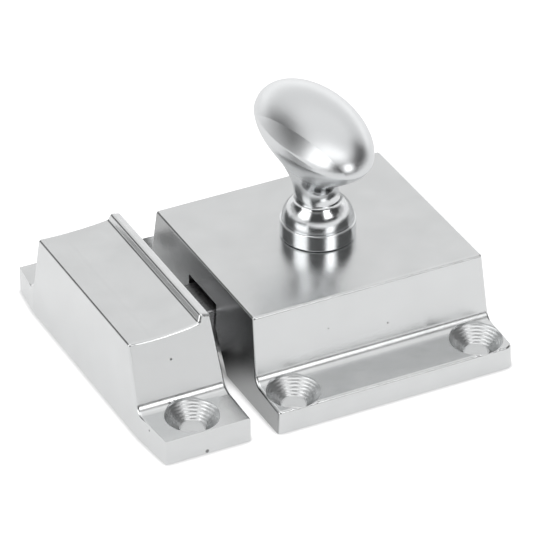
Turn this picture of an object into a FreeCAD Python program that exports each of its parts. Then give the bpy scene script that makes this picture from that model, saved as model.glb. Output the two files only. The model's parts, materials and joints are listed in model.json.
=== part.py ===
# Cupboard catch latch: a cast latch case with an oval turn knob, and its keeper.
# Millimetres.  The origin is on the spindle's axis, in the plane of the door.
# X runs from the keeper to the case's plain end, Y along the keeper, Z away from the door.
import FreeCAD, Part
import math
import os

import Sketcher
from FreeCAD import Placement, Rotation, Vector

DOC = FreeCAD.newDocument("CupboardLatch")

# Driving sizes: name, value, what it is.
SIZES = [
    ("case_length", 44.4, "latch case, along X at its foot"),
    ("case_height", 16.5, "door face to the case's top"),
    ("case_lean", 2.0, "how far the front and rear walls lean in at the top"),
    ("case_wall", 2.6, "end walls of the hollow case"),
    ("case_side_wall", 3.8, "front and rear walls, at the foot"),
    ("case_roof", 2.6, "thickness of the case's top"),
    ("end_draft", 2.3, "lean of the end faces, degrees"),
    ("flange_width", 8.65, "screw flange, from the wall's foot to its edge"),
    ("flange_edge", 4.25, "flange thickness at its outer edge"),
    ("flange_root", 4.75, "flange thickness at the wall"),
    ("cove_radius", 2.0, "hollow between wall and flange"),
    ("edge_radius", 0.5, "rounding of the upper edges"),
    ("flange_radius", 0.5, "rounding of the flange's edges and of the wall's ends"),
    ("flange_corner", 0.6, "rounding of the flange's upright corners beside the keeper"),
    ("flange_corner_far", 1.4, "rounding of the flange's upright corners at the far end"),
    ("post_length", 5.0, "corner posts for the plate screws, along X"),
    ("post_width", 3.6, "corner posts for the plate screws, along Y"),
    ("slot_width", 10.5, "bolt slot in the end wall"),
    ("slot_over", 1.4, "room in the slot above the bolt"),
    ("slot_flare_height", 6.8, "where the slot starts to widen downwards"),
    ("slot_flare", 4.7, "how far the slot widens on each side at the door"),
    ("screw_hole", 4.4, "clearance hole for a No. 8 wood screw"),
    ("screw_rim", 9.3, "countersink across its rim"),
    ("rim_wall", 0.5, "upright wall of a countersink above its rim, where it meets the cove"),
    ("rim_close", 1.0, "how far a countersink closes again above that wall"),
    ("rim_rise", 0.25, "case countersink's rim above the flange's edge"),
    ("keeper_rim_rise", 0.2, "keeper countersink's rim above the flange's end"),
    ("screw_inset_x", 5.0, "case screw from the case's end"),
    ("screw_inset_y", 4.25, "case screw from the flange's edge"),
    ("keeper_screw_inset", 4.65, "keeper screw from the flange's end"),
    ("keeper_screw_shift", 0.4, "keeper screws from the keeper's middle line, away from the case"),
    ("keeper_gap", 4.4, "open gap between case and keeper"),
    ("keeper_width", 16.7, "keeper, along X"),
    ("keeper_length", 58.5, "keeper over both screw flanges"),
    ("keeper_offset", 0.55, "keeper's middle from the case's middle line"),
    ("keeper_flange_length", 8.25, "keeper flange, from the block's foot to its end"),
    ("keeper_block_shift", 0.65, "keeper's block from the middle of its two flanges"),
    ("keeper_taper", 0.9, "how far the keeper's flanges narrow towards their ends, outer side"),
    ("keeper_taper_gap", 0.4, "how far the keeper's flanges narrow towards their ends, gap side"),
    ("keeper_slope", 3.1, "how far the keeper's block leans in at its top"),
    ("keeper_height", 16.7, "keeper's outer top edge"),
    ("keeper_inner_height", 17.1, "keeper's top beside the ridge"),
    ("ridge_height", 18.45, "top of the keeper's ridge"),
    ("ridge_width", 1.8, "flat of the ridge"),
    ("ridge_riser", 0.5, "lean of the step up to the ridge"),
    ("ridge_fall", 0.5, "drop across the ridge"),
    ("keeper_lean", 1.6, "how far the gap side leans in at the ridge"),
    ("keeper_dish_radius", 62.0, "hollow of the keeper's top"),
    ("keeper_flange", 4.55, "keeper flange thickness at its end"),
    ("keeper_flange_root", 4.9, "keeper flange thickness at the block"),
    ("keeper_wall", 2.4, "keeper's walls"),
    ("keeper_roof", 3.2, "keeper's top thickness"),
    ("strike_side", 1.2, "room beside the bolt in the keeper"),
    ("strike_over", 2.0, "room above the bolt in the keeper"),
    ("spindle_radius", 3.0, "journal in the case's top"),
    ("spindle_running", 0.06, "running clearance around the journals"),
    ("spindle_stud", 2.0, "stud in the knob"),
    ("stud_length", 5.0, "stud above the journal"),
    ("journal_rise", 2.2, "journal inside the knob"),
    ("spindle_square", 4.2, "square under the case's top"),
    ("square_shoulder", 0.6, "journal between the clip and the square"),
    ("spindle_tip", 1.8, "tip journal in the back plate"),
    ("tip_length", 1.0, "tip journal below the cam"),
    ("washer_radius", 5.4, "washer's outer radius"),
    ("washer_thick", 0.6, "washer"),
    ("clip_radius", 4.7, "spring clip's outer radius"),
    ("clip_thick", 0.7, "spring clip"),
    ("clip_groove", 0.5, "depth of the clip's groove"),
    ("clip_mouth", 3.4, "open mouth of the clip"),
    ("clip_lobe", 1.1, "cut-outs between the clip's fingers"),
    ("cam_base", 4.0, "cam's base circle, also the pull on the bolt per radian"),
    ("cam_tip", 10.25, "tips of the cam's lobes; with the base circle they give the knob's 75 degree turn"),
    ("cam_start", 0.2, "contact at rest beyond the base circle"),
    ("tip_clearance", 0.55, "room around the cam's tips"),
    ("cam_clearance", 0.15, "play between cam and bolt"),
    ("cam_thick", 3.8, "lobes of the cam"),
    ("cam_back", 2.6, "thickness of a lobe behind its flank"),
    ("cam_float", 0.5, "lobes above the back plate"),
    ("hub_float", 0.1, "hub above the back plate"),
    ("bolt_width", 9.8, "bolt across"),
    ("bolt_top", 10.0, "bolt's top above the door"),
    ("bolt_float", 0.1, "bolt above the back plate"),
    ("bolt_engage", 4.9, "bolt's nose inside the keeper's gap face"),
    ("bolt_bevel", 4.4, "bevel under the nose, along X"),
    ("bolt_nose", 1.8, "blunt height of the nose"),
    ("frame_height", 4.9, "bolt's frame"),
    ("frame_play", 0.2, "play of the frame between the corner posts"),
    ("frame_rail", 2.2, "side rails of the bolt's frame"),
    ("frame_stop", 0.1, "frame to the end wall at rest"),
    ("frame_front", 3.5, "frame's bar behind the nose"),
    ("frame_end", 3.9, "frame's bar at the spring"),
    ("spring_coil", 1.85, "spring's mean radius"),
    ("spring_wire", 0.6, "spring wire"),
    ("spring_turns", 6.5, "turns of the spring"),
    ("pin_radius", 1.1, "spring pin"),
    ("pin_seat", 1.4, "spring pin in the end wall"),
    ("pin_stand_off", 1.55, "spring pin's tip from the bolt's frame at rest"),
    ("pin_play", 0.25, "bore in the bolt around the spring pin"),
    ("plate_thick", 1.2, "back plate"),
    ("plate_recess", 1.4, "recess for the back plate"),
    ("plate_ledge", 0.9, "width of the ledge the plate rests on"),
    ("plate_play", 0.1, "play around the back plate"),
    ("plate_screw", 1.1, "plate screw's radius"),
    ("plate_screw_head", 2.1, "plate screw's head radius"),
    ("plate_screw_length", 6.5, "plate screw, over all"),
    ("plate_screw_slot", 0.5, "driver slot in the plate screw"),
    ("knob_gap", 0.1, "knob's collar above the case"),
    ("collar_radius", 6.5, "knob's collar"),
    ("collar_height", 3.05, "knob's collar"),
    ("bell_radius", 6.2, "foot of the bell above the collar"),
    ("bell_neck", 4.3, "top of the bell"),
    ("bell_height", 3.5, "bell above the collar"),
    ("bell_round", 4.6, "rounding of the bell"),
    ("neck_radius", 3.8, "knob's neck"),
    ("neck_low", 23.9, "where the bell's top meets the neck"),
    ("neck_height", 25.4, "where the neck starts to widen"),
    ("flare_height", 36.2, "where the oval's flanks stand upright"),
    ("flare_half_x", 8.04, "half width across the oval's flanks"),
    ("flare_half_y", 15.65, "half width along the oval's flanks, just past the dome's ends"),
    ("flare_curve_x", 2.7, "how late the flare opens across"),
    ("flare_curve_y", 1.85, "how late the flare opens along"),
    ("flare_swell", 1.0, "how upright the flare ends across"),
    ("flare_swell_y", 0.76, "how upright the flare ends along"),
    ("oval_half_x", 8.35, "dome across, before the flanks trim it"),
    ("oval_half_y", 15.32, "dome along"),
    ("oval_half_z", 6.85, "dome's half height"),
    ("oval_height", 35.9, "dome's middle above the door"),
    ("oval_shift_x", -0.6, "how far the cast oval sits off the turned foot's axis, along X"),
    ("oval_shift_y", 0.5, "how far the cast oval sits off the turned foot's axis, along Y"),
]


class Term:
    """A size that knows its value and how the sheet makes it."""

    def __init__(self, value, text):
        self.value = value
        self.text = text

    def __add__(self, other):
        other = term(other)
        return Term(self.value + other.value, f"({self.text} + {other.text})")

    def __sub__(self, other):
        other = term(other)
        return Term(self.value - other.value, f"({self.text} - {other.text})")

    def __mul__(self, other):
        other = term(other)
        return Term(self.value * other.value, f"({self.text} * {other.text})")

    def __truediv__(self, other):
        other = term(other)
        return Term(self.value / other.value, f"({self.text} / {other.text})")

    def __neg__(self):
        return Term(-self.value, f"(-1 * {self.text})")

    def __radd__(self, other):
        return term(other) + self

    def __rsub__(self, other):
        return term(other) - self

    def __rmul__(self, other):
        return term(other) * self


def term(value):
    """Any number as a Term."""
    if isinstance(value, Term):
        return value
    return Term(float(value), repr(float(value)))


def power(base, exponent):
    return Term(base.value ** exponent.value, f"({base.text} ^ {exponent.text})")


def tangent(degrees):
    value = math.tan(math.radians(degrees.value))
    return Term(value, f"tan({degrees.text} * 1 deg)")


class Sizes:
    """The sheet's sizes as Terms, one attribute each."""


def make_sheet():
    """Write every driving size into the sheet and hand the Terms back."""
    sheet = DOC.addObject("Spreadsheet::Sheet", "Sizes")
    terms = Sizes()
    for row, (name, value, note) in enumerate(SIZES, start=1):
        sheet.set(f"A{row}", name)
        sheet.set(f"B{row}", str(value))
        sheet.set(f"C{row}", note)
        sheet.setAlias(f"B{row}", name)
        setattr(terms, name, Term(value, f"Sizes.{name}"))
    DOC.recompute()
    return terms


S = make_sheet()


# Helpers for bodies and sketches

def body_named(label):
    body = DOC.addObject("PartDesign::Body", label)
    body.Label = label
    body.Placement = Placement(Vector(0, 0, 0), Rotation())
    return body


def origin_plane(body, role):
    for feature in body.Origin.OriginFeatures:
        if feature.Role == role:
            return feature
    raise ValueError("no origin plane " + role)


def bind(thing, path, size):
    thing.setExpression(path, term(size).text)


def sketch_on(body, name, role, lift=None, shift=None):
    """A sketch on one of the body's own planes, lifted or shifted by sizes."""
    sketch = body.newObject("Sketcher::SketchObject", name)
    sketch.AttachmentSupport = [(origin_plane(body, role), "")]
    sketch.MapMode = "FlatFace"
    if lift is not None:
        bind(sketch, "AttachmentOffset.Base.z", lift)
    if shift is not None:
        bind(sketch, "AttachmentOffset.Base.x", shift[0])
        bind(sketch, "AttachmentOffset.Base.y", shift[1])
    return sketch


def hold(sketch, kind, *places, size):
    """Add one dimension to the sketch and tie it to the sheet."""
    index = sketch.addConstraint(Sketcher.Constraint(kind, *places, term(size).value))
    sketch.setExpression(f"Constraints[{index}]", term(size).text)


def pin_point(sketch, piece, end, point):
    """Hold one end of a line or arc at x and y from the sketch's origin."""
    hold(sketch, "DistanceX", -1, 1, piece, end, size=point[0])
    hold(sketch, "DistanceY", -1, 1, piece, end, size=point[1])


def as_vector(point):
    return Vector(term(point[0]).value, term(point[1]).value, 0)


def arc_through(start, end, radius, left):
    """Arc from start to end with its centre on the left or the right of the chord."""
    first, last = as_vector(start), as_vector(end)
    chord = last - first
    rise = math.sqrt(max(radius.value ** 2 - (chord.Length / 2) ** 2, 0))
    side = Vector(-chord.y, chord.x, 0).normalize() * (rise if left else -rise)
    centre = (first + last) / 2 + side
    first_angle = math.atan2(first.y - centre.y, first.x - centre.x)
    last_angle = math.atan2(last.y - centre.y, last.x - centre.x)
    circle = Part.Circle(centre, Vector(0, 0, 1), radius.value)
    if left:
        return Part.ArcOfCircle(circle, first_angle, last_angle)
    return Part.ArcOfCircle(circle, last_angle, first_angle)


def outline(sketch, corners, arcs=None):
    """Closed outline through the corners; arcs maps a side to (radius, left)."""
    arcs = arcs or {}
    count = len(corners)
    base = sketch.GeometryCount
    for side in range(count):
        start, end = corners[side], corners[(side + 1) % count]
        if side in arcs:
            radius, left = arcs[side]
            sketch.addGeometry(arc_through(start, end, radius, left), False)
        else:
            sketch.addGeometry(Part.LineSegment(as_vector(start), as_vector(end)), False)

    def tip(side, at_end):
        turned = side in arcs and not arcs[side][1]
        return 1 if at_end == turned else 2

    for side in range(count):
        following = (side + 1) % count
        sketch.addConstraint(Sketcher.Constraint(
            "Coincident", base + side, tip(side, True), base + following, tip(following, False)))
    for side in range(count):
        pin_point(sketch, base + side, tip(side, False), corners[side])
    for side, (radius, _) in arcs.items():
        hold(sketch, "Radius", base + side, size=radius)


def box_outline(sketch, half_x, half_y):
    outline(sketch, [(-half_x, -half_y), (half_x, -half_y), (half_x, half_y), (-half_x, half_y)])


def ring(sketch, centre, radius):
    piece = sketch.addGeometry(Part.Circle(as_vector(centre), Vector(0, 0, 1), term(radius).value),
                               False)
    pin_point(sketch, piece, 3, centre)
    hold(sketch, "Radius", piece, size=radius)


def pad(body, sketch, name, length, middle=False, back=False):
    feature = body.newObject("PartDesign::Pad", name)
    feature.Profile = sketch
    bind(feature, "Length", length)
    feature.Midplane = middle
    feature.Reversed = back
    DOC.recompute()
    return feature


def volume_of(body):
    return body.Shape.Volume if not body.Shape.isNull() else 0.0


def must_cut(body, before, name):
    """A pocket that points away from the solid cuts nothing: catch that here."""
    if not volume_of(body) < before - 1e-4:
        raise RuntimeError(name + " cut nothing")


def pocket(body, sketch, name, length, middle=False, back=False):
    before = volume_of(body)
    feature = body.newObject("PartDesign::Pocket", name)
    feature.Profile = sketch
    bind(feature, "Length", length)
    feature.Midplane = middle
    feature.Reversed = back
    DOC.recompute()
    must_cut(body, before, name)
    return feature


def turned(body, sketch, name, kind="PartDesign::Revolution", axis="V_Axis"):
    before = volume_of(body)
    feature = body.newObject(kind, name)
    feature.Profile = sketch
    feature.ReferenceAxis = (sketch, [axis])
    feature.Angle = 360
    DOC.recompute()
    if kind == "PartDesign::Groove":
        must_cut(body, before, name)
    return feature


def edges_where(shape, test):
    """Names of the edges whose middle point and direction pass the test."""
    names = []
    for index, edge in enumerate(shape.Edges, start=1):
        middle = edge.valueAt((edge.FirstParameter + edge.LastParameter) / 2)
        ends = edge.Vertexes[-1].Point - edge.Vertexes[0].Point
        direction = ends.normalize() if ends.Length > 1e-9 else Vector(0, 0, 0)
        if test(middle, direction):
            names.append(f"Edge{index}")
    return names


def fillet(body, name, radius, test):
    base = body.Tip
    names = edges_where(base.Shape, test)
    if not names:
        raise RuntimeError(name + " found no edge")
    feature = body.newObject("PartDesign::Fillet", name)
    feature.Base = (base, names)
    bind(feature, "Radius", radius)
    DOC.recompute()
    return feature


def near(value, size, reach=0.02):
    return abs(value - term(size).value) < reach


def mirrored_copies(body, name, feature, roles):
    """Repeat a cut across one or two of the body's own planes."""
    multi = body.newObject("PartDesign::MultiTransform", name)
    multi.Originals = [feature]
    steps = []
    for role in roles:
        step = body.newObject("PartDesign::Mirrored", name + role[:2])
        step.MirrorPlane = (origin_plane(body, role), [""])
        steps.append(step)
    multi.Transformations = steps
    body.Tip = multi
    DOC.recompute()
    return multi


def countersink(body, name, centre, rim_height):
    """One countersunk screw hole, closed again where it runs into the cove."""
    sketch = sketch_on(body, name + "Outline", "XZ_Plane", -centre[1], (centre[0], term(0)))
    hole = S.screw_hole / 2
    rim = S.screw_rim / 2
    wall_top = rim_height + S.rim_wall
    above = wall_top + S.rim_close * 0.8
    seat = rim_height - (rim - hole)
    outline(sketch, [(term(0), -S.flange_edge), (hole, -S.flange_edge), (hole, seat),
                     (rim, rim_height), (rim, wall_top), (rim - S.rim_close, above),
                     (term(0), above)])
    return turned(body, sketch, name, "PartDesign::Groove")


# Places that several pieces share; across the latch they are sized from the cam outwards

CASE_HALF = S.case_length / 2
CAVITY_X = CASE_HALF - S.case_wall
FRAME_Y = S.cam_tip + S.tip_clearance + S.frame_rail
POST_Y = FRAME_Y + S.frame_play
CAVITY_Y = POST_Y + S.post_width
CASE_FOOT = (CAVITY_Y + S.case_side_wall) * 2
CASE_TOP = CASE_FOOT - S.case_lean * 2
CASE_WIDTH = CASE_FOOT + S.flange_width * 2
ROOF_UNDER = S.case_height - S.case_roof
PLATE_TOP = S.plate_recess
PLATE_UNDER = S.plate_recess - S.plate_thick
POST_X = CAVITY_X - S.post_length
PLATE_SCREW_X = CAVITY_X - S.post_length / 2
PLATE_SCREW_Y = CAVITY_Y - S.post_width / 2
CASE_SCREW = (CASE_HALF - S.screw_inset_x, CASE_WIDTH / 2 - S.screw_inset_y)
BOLT_UNDER = PLATE_TOP + S.bolt_float
SLOT_TOP = S.bolt_top + S.slot_over
CAM_REACH = S.cam_base + S.cam_start
FRAME_LEFT = -CAVITY_X + S.frame_stop
WINDOW_LEFT = FRAME_LEFT + S.frame_front
WINDOW_RIGHT = CAM_REACH + S.cam_clearance
FRAME_RIGHT = WINDOW_RIGHT + S.frame_end
PIN_TIP = FRAME_RIGHT + S.pin_stand_off
SPRING_Z = BOLT_UNDER + S.frame_height / 2
CAM_UNDER = PLATE_TOP + S.cam_float
HUB_UNDER = PLATE_TOP + S.hub_float
WASHER_UNDER = ROOF_UNDER - S.washer_thick
CLIP_UNDER = WASHER_UNDER - S.clip_thick
SQUARE_TOP = CLIP_UNDER - S.square_shoulder
COLLAR_UNDER = S.case_height + S.knob_gap
JOURNAL_TOP = COLLAR_UNDER + S.journal_rise
KEEPER_FOOT = S.keeper_length - S.keeper_flange_length * 2
KEEPER_CREST = KEEPER_FOOT - S.keeper_slope * 2
KEEPER_RIGHT = -CASE_HALF - S.keeper_gap
KEEPER_LEFT = KEEPER_RIGHT - S.keeper_width
KEEPER_MIDDLE = KEEPER_RIGHT - S.keeper_width / 2
KEEPER_SCREW = (KEEPER_MIDDLE - S.keeper_screw_shift, S.keeper_length / 2 - S.keeper_screw_inset)
NOSE_TIP = KEEPER_RIGHT - S.bolt_engage


# Latch case: one hollow casting with two screw flanges

def case_section():
    half = CASE_WIDTH / 2
    foot = CASE_FOOT / 2
    top = CASE_TOP / 2
    zero = term(0)
    return [(-half, zero), (half, zero), (half, S.flange_edge), (foot, S.flange_root),
            (top, S.case_height), (-top, S.case_height), (-foot, S.flange_root),
            (-half, S.flange_edge)]


def draft_ends(body):
    """Lean the two end faces in, from the foot to the top."""
    sketch = sketch_on(body, "EndDraft", "XZ_Plane")
    lean = tangent(S.end_draft) * S.case_height
    beyond = CASE_HALF + S.case_wall
    zero = term(0)
    outline(sketch, [(CASE_HALF, zero), (beyond, zero), (beyond, S.case_height),
                     (CASE_HALF - lean, S.case_height)])
    cut = pocket(body, sketch, "DraftedEnd", CASE_WIDTH, middle=True)
    mirrored_copies(body, "DraftedEnds", cut, ["YZ_Plane"])


def hollow_case(body):
    """Cavity open to the door, with a post left in each corner for the plate screws."""
    sketch = sketch_on(body, "CavityOutline", "XY_Plane")
    outline(sketch, [(-POST_X, -CAVITY_Y), (POST_X, -CAVITY_Y), (POST_X, -POST_Y),
                     (CAVITY_X, -POST_Y), (CAVITY_X, POST_Y), (POST_X, POST_Y),
                     (POST_X, CAVITY_Y), (-POST_X, CAVITY_Y), (-POST_X, POST_Y),
                     (-CAVITY_X, POST_Y), (-CAVITY_X, -POST_Y), (-POST_X, -POST_Y)])
    pocket(body, sketch, "Cavity", ROOF_UNDER, back=True)
    recess = sketch_on(body, "PlateRecessOutline", "XY_Plane")
    box_outline(recess, CAVITY_X + S.plate_ledge, CAVITY_Y + S.plate_ledge)
    pocket(body, recess, "PlateRecess", S.plate_recess, back=True)


def open_slot(body):
    """Slot for the bolt in the end wall, flared towards the door."""
    sketch = sketch_on(body, "SlotOutline", "YZ_Plane", -CASE_HALF - S.case_wall)
    half = S.slot_width / 2
    wide = half + S.slot_flare
    zero = term(0)
    outline(sketch, [(-wide, zero), (wide, zero), (half, S.slot_flare_height),
                     (half, SLOT_TOP), (-half, SLOT_TOP), (-half, S.slot_flare_height)])
    pocket(body, sketch, "BoltSlot", S.case_wall * 2 + S.plate_ledge, back=True)


def case_bores(body):
    """Spindle bore, spring pin seat and the threaded holes in the corner posts."""
    sketch = sketch_on(body, "SpindleBoreOutline", "XY_Plane", ROOF_UNDER - S.case_roof)
    ring(sketch, (term(0), term(0)), S.spindle_radius + S.spindle_running)
    pocket(body, sketch, "SpindleBore", S.case_roof * 3, back=True)
    seat = sketch_on(body, "PinSeatOutline", "YZ_Plane", CAVITY_X - S.pin_seat)
    ring(seat, (term(0), SPRING_Z), S.pin_radius)
    pocket(body, seat, "PinSeat", S.pin_seat * 2, back=True)
    post = sketch_on(body, "PostHoleOutline", "XY_Plane")
    ring(post, (PLATE_SCREW_X, PLATE_SCREW_Y), S.plate_screw)
    hole = pocket(body, post, "PostHole", PLATE_UNDER + S.plate_screw_length, back=True)
    mirrored_copies(body, "PostHoles", hole, ["YZ_Plane", "XZ_Plane"])


def make_case():
    body = body_named("latch_case")
    sketch = sketch_on(body, "CaseSection", "YZ_Plane")
    outline(sketch, case_section())
    pad(body, sketch, "CaseBlock", S.case_length, middle=True)
    foot = CASE_FOOT / 2
    fillet(body, "Coves", S.cove_radius,
           lambda p, d: abs(d.x) > 0.9 and near(abs(p.y), foot) and near(p.z, S.flange_root))
    draft_ends(body)
    half = CASE_WIDTH / 2
    fillet(body, "FlangeCorners", S.flange_corner,
           lambda p, d: p.x < 0 and near(abs(p.y), half) and abs(d.z) > 0.9)
    fillet(body, "FarFlangeCorners", S.flange_corner_far,
           lambda p, d: p.x > 0 and near(abs(p.y), half) and abs(d.z) > 0.9)
    fillet(body, "FlangeEdges", S.flange_radius,
           lambda p, d: near(abs(p.y), half) and near(p.z, S.flange_edge))
    fillet(body, "TopEdges", S.edge_radius, lambda p, d: near(p.z, S.case_height))
    hollow_case(body)
    open_slot(body)
    case_bores(body)
    hole = countersink(body, "CaseScrewHole", CASE_SCREW, S.flange_edge + S.rim_rise)
    mirrored_copies(body, "CaseScrewHoles", hole, ["YZ_Plane", "XZ_Plane"])
    return body


# Keeper: a second hollow casting with a raised ridge beside the gap

def keeper_section():
    """Keeper's outline along Y: two flanges and the raised block."""
    half = S.keeper_length / 2
    foot = KEEPER_FOOT / 2
    top = KEEPER_CREST / 2
    lean = (foot - top) / (S.keeper_height - S.keeper_flange_root)
    crest = top - lean * (S.ridge_height - S.keeper_height)
    zero = term(0)
    shift = S.keeper_block_shift
    return [(-half, zero), (half, zero), (half, S.keeper_flange), (shift + foot, S.keeper_flange_root),
            (shift + crest, S.ridge_height), (shift - crest, S.ridge_height),
            (shift - foot, S.keeper_flange_root), (-half, S.keeper_flange)]


def taper_flanges(body):
    """Narrow the keeper's flanges from the block's feet to their ends, on both sides."""
    half = S.keeper_length / 2
    foot = KEEPER_FOOT / 2
    beyond = S.keeper_taper + S.keeper_wall
    sides = ((KEEPER_LEFT, S.keeper_taper, -beyond), (KEEPER_RIGHT, S.keeper_taper_gap * -1, beyond))
    for side, inward, outward in sides:
        for end in (-1, 1):
            name = f"FlangeTaper{'Gap' if side is KEEPER_RIGHT else 'Outer'}{'Near' if end < 0 else 'Far'}"
            sketch = sketch_on(body, name + "Outline", "XY_Plane")
            start = S.keeper_block_shift + foot * end
            stop = half * end
            past = stop + S.keeper_wall * end
            drift = inward * (past - start) / (stop - start)
            outline(sketch, [(side, start), (side + drift, past), (side + outward, past),
                             (side + outward, start)])
            pocket(body, sketch, name, S.keeper_height, back=True)


def shape_keeper_top(body):
    """Cut away what lies above the dished top and beside the ridge."""
    sketch = sketch_on(body, "KeeperTopOutline", "XZ_Plane")
    above = S.ridge_height + S.keeper_wall
    crest_right = KEEPER_RIGHT - S.keeper_lean
    crest_left = crest_right - S.ridge_width
    riser = crest_left - S.ridge_riser
    beyond_left = KEEPER_LEFT - S.keeper_wall
    beyond_right = KEEPER_RIGHT + S.keeper_wall
    right_top = S.ridge_height - S.ridge_fall
    zero = term(0)
    outline(sketch, [(KEEPER_LEFT, S.keeper_height), (riser, S.keeper_inner_height),
                     (crest_left, S.ridge_height), (crest_right, right_top),
                     (KEEPER_RIGHT, zero), (beyond_right, zero), (beyond_right, above),
                     (beyond_left, above), (beyond_left, S.keeper_height)],
            {0: (S.keeper_dish_radius, True)})
    pocket(body, sketch, "KeeperTop", S.keeper_length, middle=True)


def hollow_keeper(body):
    """Hollow under the top, and the mouth in the gap side that takes the bolt."""
    sketch = sketch_on(body, "KeeperCavityOutline", "XY_Plane")
    half = KEEPER_CREST / 2 - S.keeper_wall
    left = KEEPER_LEFT + S.keeper_wall
    right = KEEPER_RIGHT - S.keeper_lean - S.keeper_wall
    near_end = S.keeper_block_shift - half
    far_end = S.keeper_block_shift + half
    outline(sketch, [(left, near_end), (right, near_end), (right, far_end), (left, far_end)])
    pocket(body, sketch, "KeeperCavity", S.keeper_height - S.keeper_roof, back=True)
    mouth = sketch_on(body, "MouthOutline", "YZ_Plane", KEEPER_MIDDLE)
    wide = S.bolt_width / 2 + S.strike_side
    low = term(0)
    high = S.bolt_top + S.strike_over
    shift = -S.keeper_offset
    outline(mouth, [(shift - wide, low), (shift + wide, low), (shift + wide, high),
                    (shift - wide, high)])
    pocket(body, mouth, "Mouth", S.keeper_width, back=True)


def make_keeper():
    body = body_named("keeper")
    sketch = sketch_on(body, "KeeperSection", "YZ_Plane", KEEPER_LEFT)
    outline(sketch, keeper_section())
    pad(body, sketch, "KeeperBlock", S.keeper_width)
    foot = KEEPER_FOOT / 2
    fillet(body, "KeeperCoves", S.cove_radius,
           lambda p, d: abs(d.x) > 0.9 and near(abs(p.y - S.keeper_block_shift.value), foot)
           and near(p.z, S.keeper_flange_root))
    shape_keeper_top(body)
    above = S.keeper_flange_root.value + S.cove_radius.value
    fillet(body, "KeeperEdges", S.edge_radius, lambda p, d: p.z > above)
    taper_flanges(body)
    hollow_keeper(body)
    hole = countersink(body, "KeeperScrewHole", KEEPER_SCREW, S.keeper_flange + S.keeper_rim_rise)
    mirrored_copies(body, "KeeperScrewHoles", hole, ["XZ_Plane"])
    bind(body, "Placement.Base.y", S.keeper_offset)
    return body


# Turn knob: a flared oval grip with a domed top, on a foot turned about the spindle

def oval_section(body, name, height, half_x, half_y, lean=1.0):
    """One oval cross-section of the grip, set off the foot's axis by a share of the oval's own."""
    shift = (S.oval_shift_x * lean, S.oval_shift_y * lean)
    sketch = sketch_on(body, name, "XY_Plane", height, shift)
    far, near_side = (half_x, half_y) if half_x.value > half_y.value else (half_y, half_x)
    along_x = half_x.value > half_y.value
    tip = Vector(far.value, 0, 0) if along_x else Vector(0, far.value, 0)
    side = Vector(0, near_side.value, 0) if along_x else Vector(-near_side.value, 0, 0)
    piece = sketch.addGeometry(Part.Ellipse(tip, side, Vector(0, 0, 0)), False)
    sketch.exposeInternalGeometry(piece)
    long_line, short_line = piece + 1, piece + 2
    sketch.addConstraint(Sketcher.Constraint("Coincident", piece, 3, -1, 1))
    sketch.addConstraint(Sketcher.Constraint("Horizontal" if along_x else "Vertical", long_line))
    hold(sketch, "Distance", long_line, size=far * 2)
    hold(sketch, "Distance", short_line, size=near_side * 2)
    return sketch


def opening(part, curve, swell):
    """Share of the flare's widening at a share of its height, upright at the top when swell is 1."""
    return power(part, curve) * (swell * curve * (term(1) - part) + 1)


def make_flare(body):
    """Loft from the round neck to upright flanks that rise past the dome."""
    foot = sketch_on(body, "FlareFoot", "XY_Plane", S.neck_low)
    ring(foot, (term(0), term(0)), S.neck_radius)
    sections = [oval_section(body, "NeckTop", S.neck_height, S.neck_radius, S.neck_radius * 1.02, 0.5)]
    for step in (0.15, 0.3, 0.45, 0.6, 0.75, 0.9, 1.0):
        part = term(step)
        height = S.neck_height + (S.flare_height - S.neck_height) * part
        open_x = opening(part, S.flare_curve_x, S.flare_swell)
        open_y = opening(part, S.flare_curve_y, S.flare_swell_y)
        wide = S.neck_radius + (S.flare_half_x - S.neck_radius) * open_x
        along = S.neck_radius + (S.flare_half_y - S.neck_radius) * open_y
        name = f"FlareSection{len(sections)}"
        sections.append(oval_section(body, name, height, wide, along, min(1.0, 0.5 + step / 0.6)))
    loft = body.newObject("PartDesign::AdditiveLoft", "Flare")
    loft.Profile = foot
    loft.Sections = sections
    DOC.recompute()
    flank = oval_section(body, "FlankOutline", S.flare_height, S.flare_half_x, S.flare_half_y)
    pad(body, flank, "Flanks", S.oval_half_z * 1.2)


def dome_form():
    """Ellipsoid of the dome on a block, which together hold the grip's outer limits."""
    body = body_named("dome_form")
    dome = body.newObject("PartDesign::AdditiveEllipsoid", "Dome")
    dome.AttachmentSupport = [(origin_plane(body, "XY_Plane"), "")]
    dome.MapMode = "FlatFace"
    bind(dome, "AttachmentOffset.Base.x", S.oval_shift_x)
    bind(dome, "AttachmentOffset.Base.y", S.oval_shift_y)
    bind(dome, "AttachmentOffset.Base.z", S.oval_height)
    bind(dome, "Radius1", S.oval_half_z)
    bind(dome, "Radius2", S.oval_half_x)
    bind(dome, "Radius3", S.oval_half_y)
    block = sketch_on(body, "BlockOutline", "XY_Plane", S.collar_radius)
    ring(block, (term(0), term(0)), S.oval_half_y * 1.5)
    pad(body, block, "Block", S.oval_height - S.oval_half_z * 0.18 - S.collar_radius)
    return body


def trim_dome(body):
    """Keep what lies in both the flare and the dome's form: a dome with upright flanks."""
    trim = body.newObject("PartDesign::Boolean", "DomedGrip")
    trim.setObjects([dome_form()])
    trim.Type = "Common"
    DOC.recompute()


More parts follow.
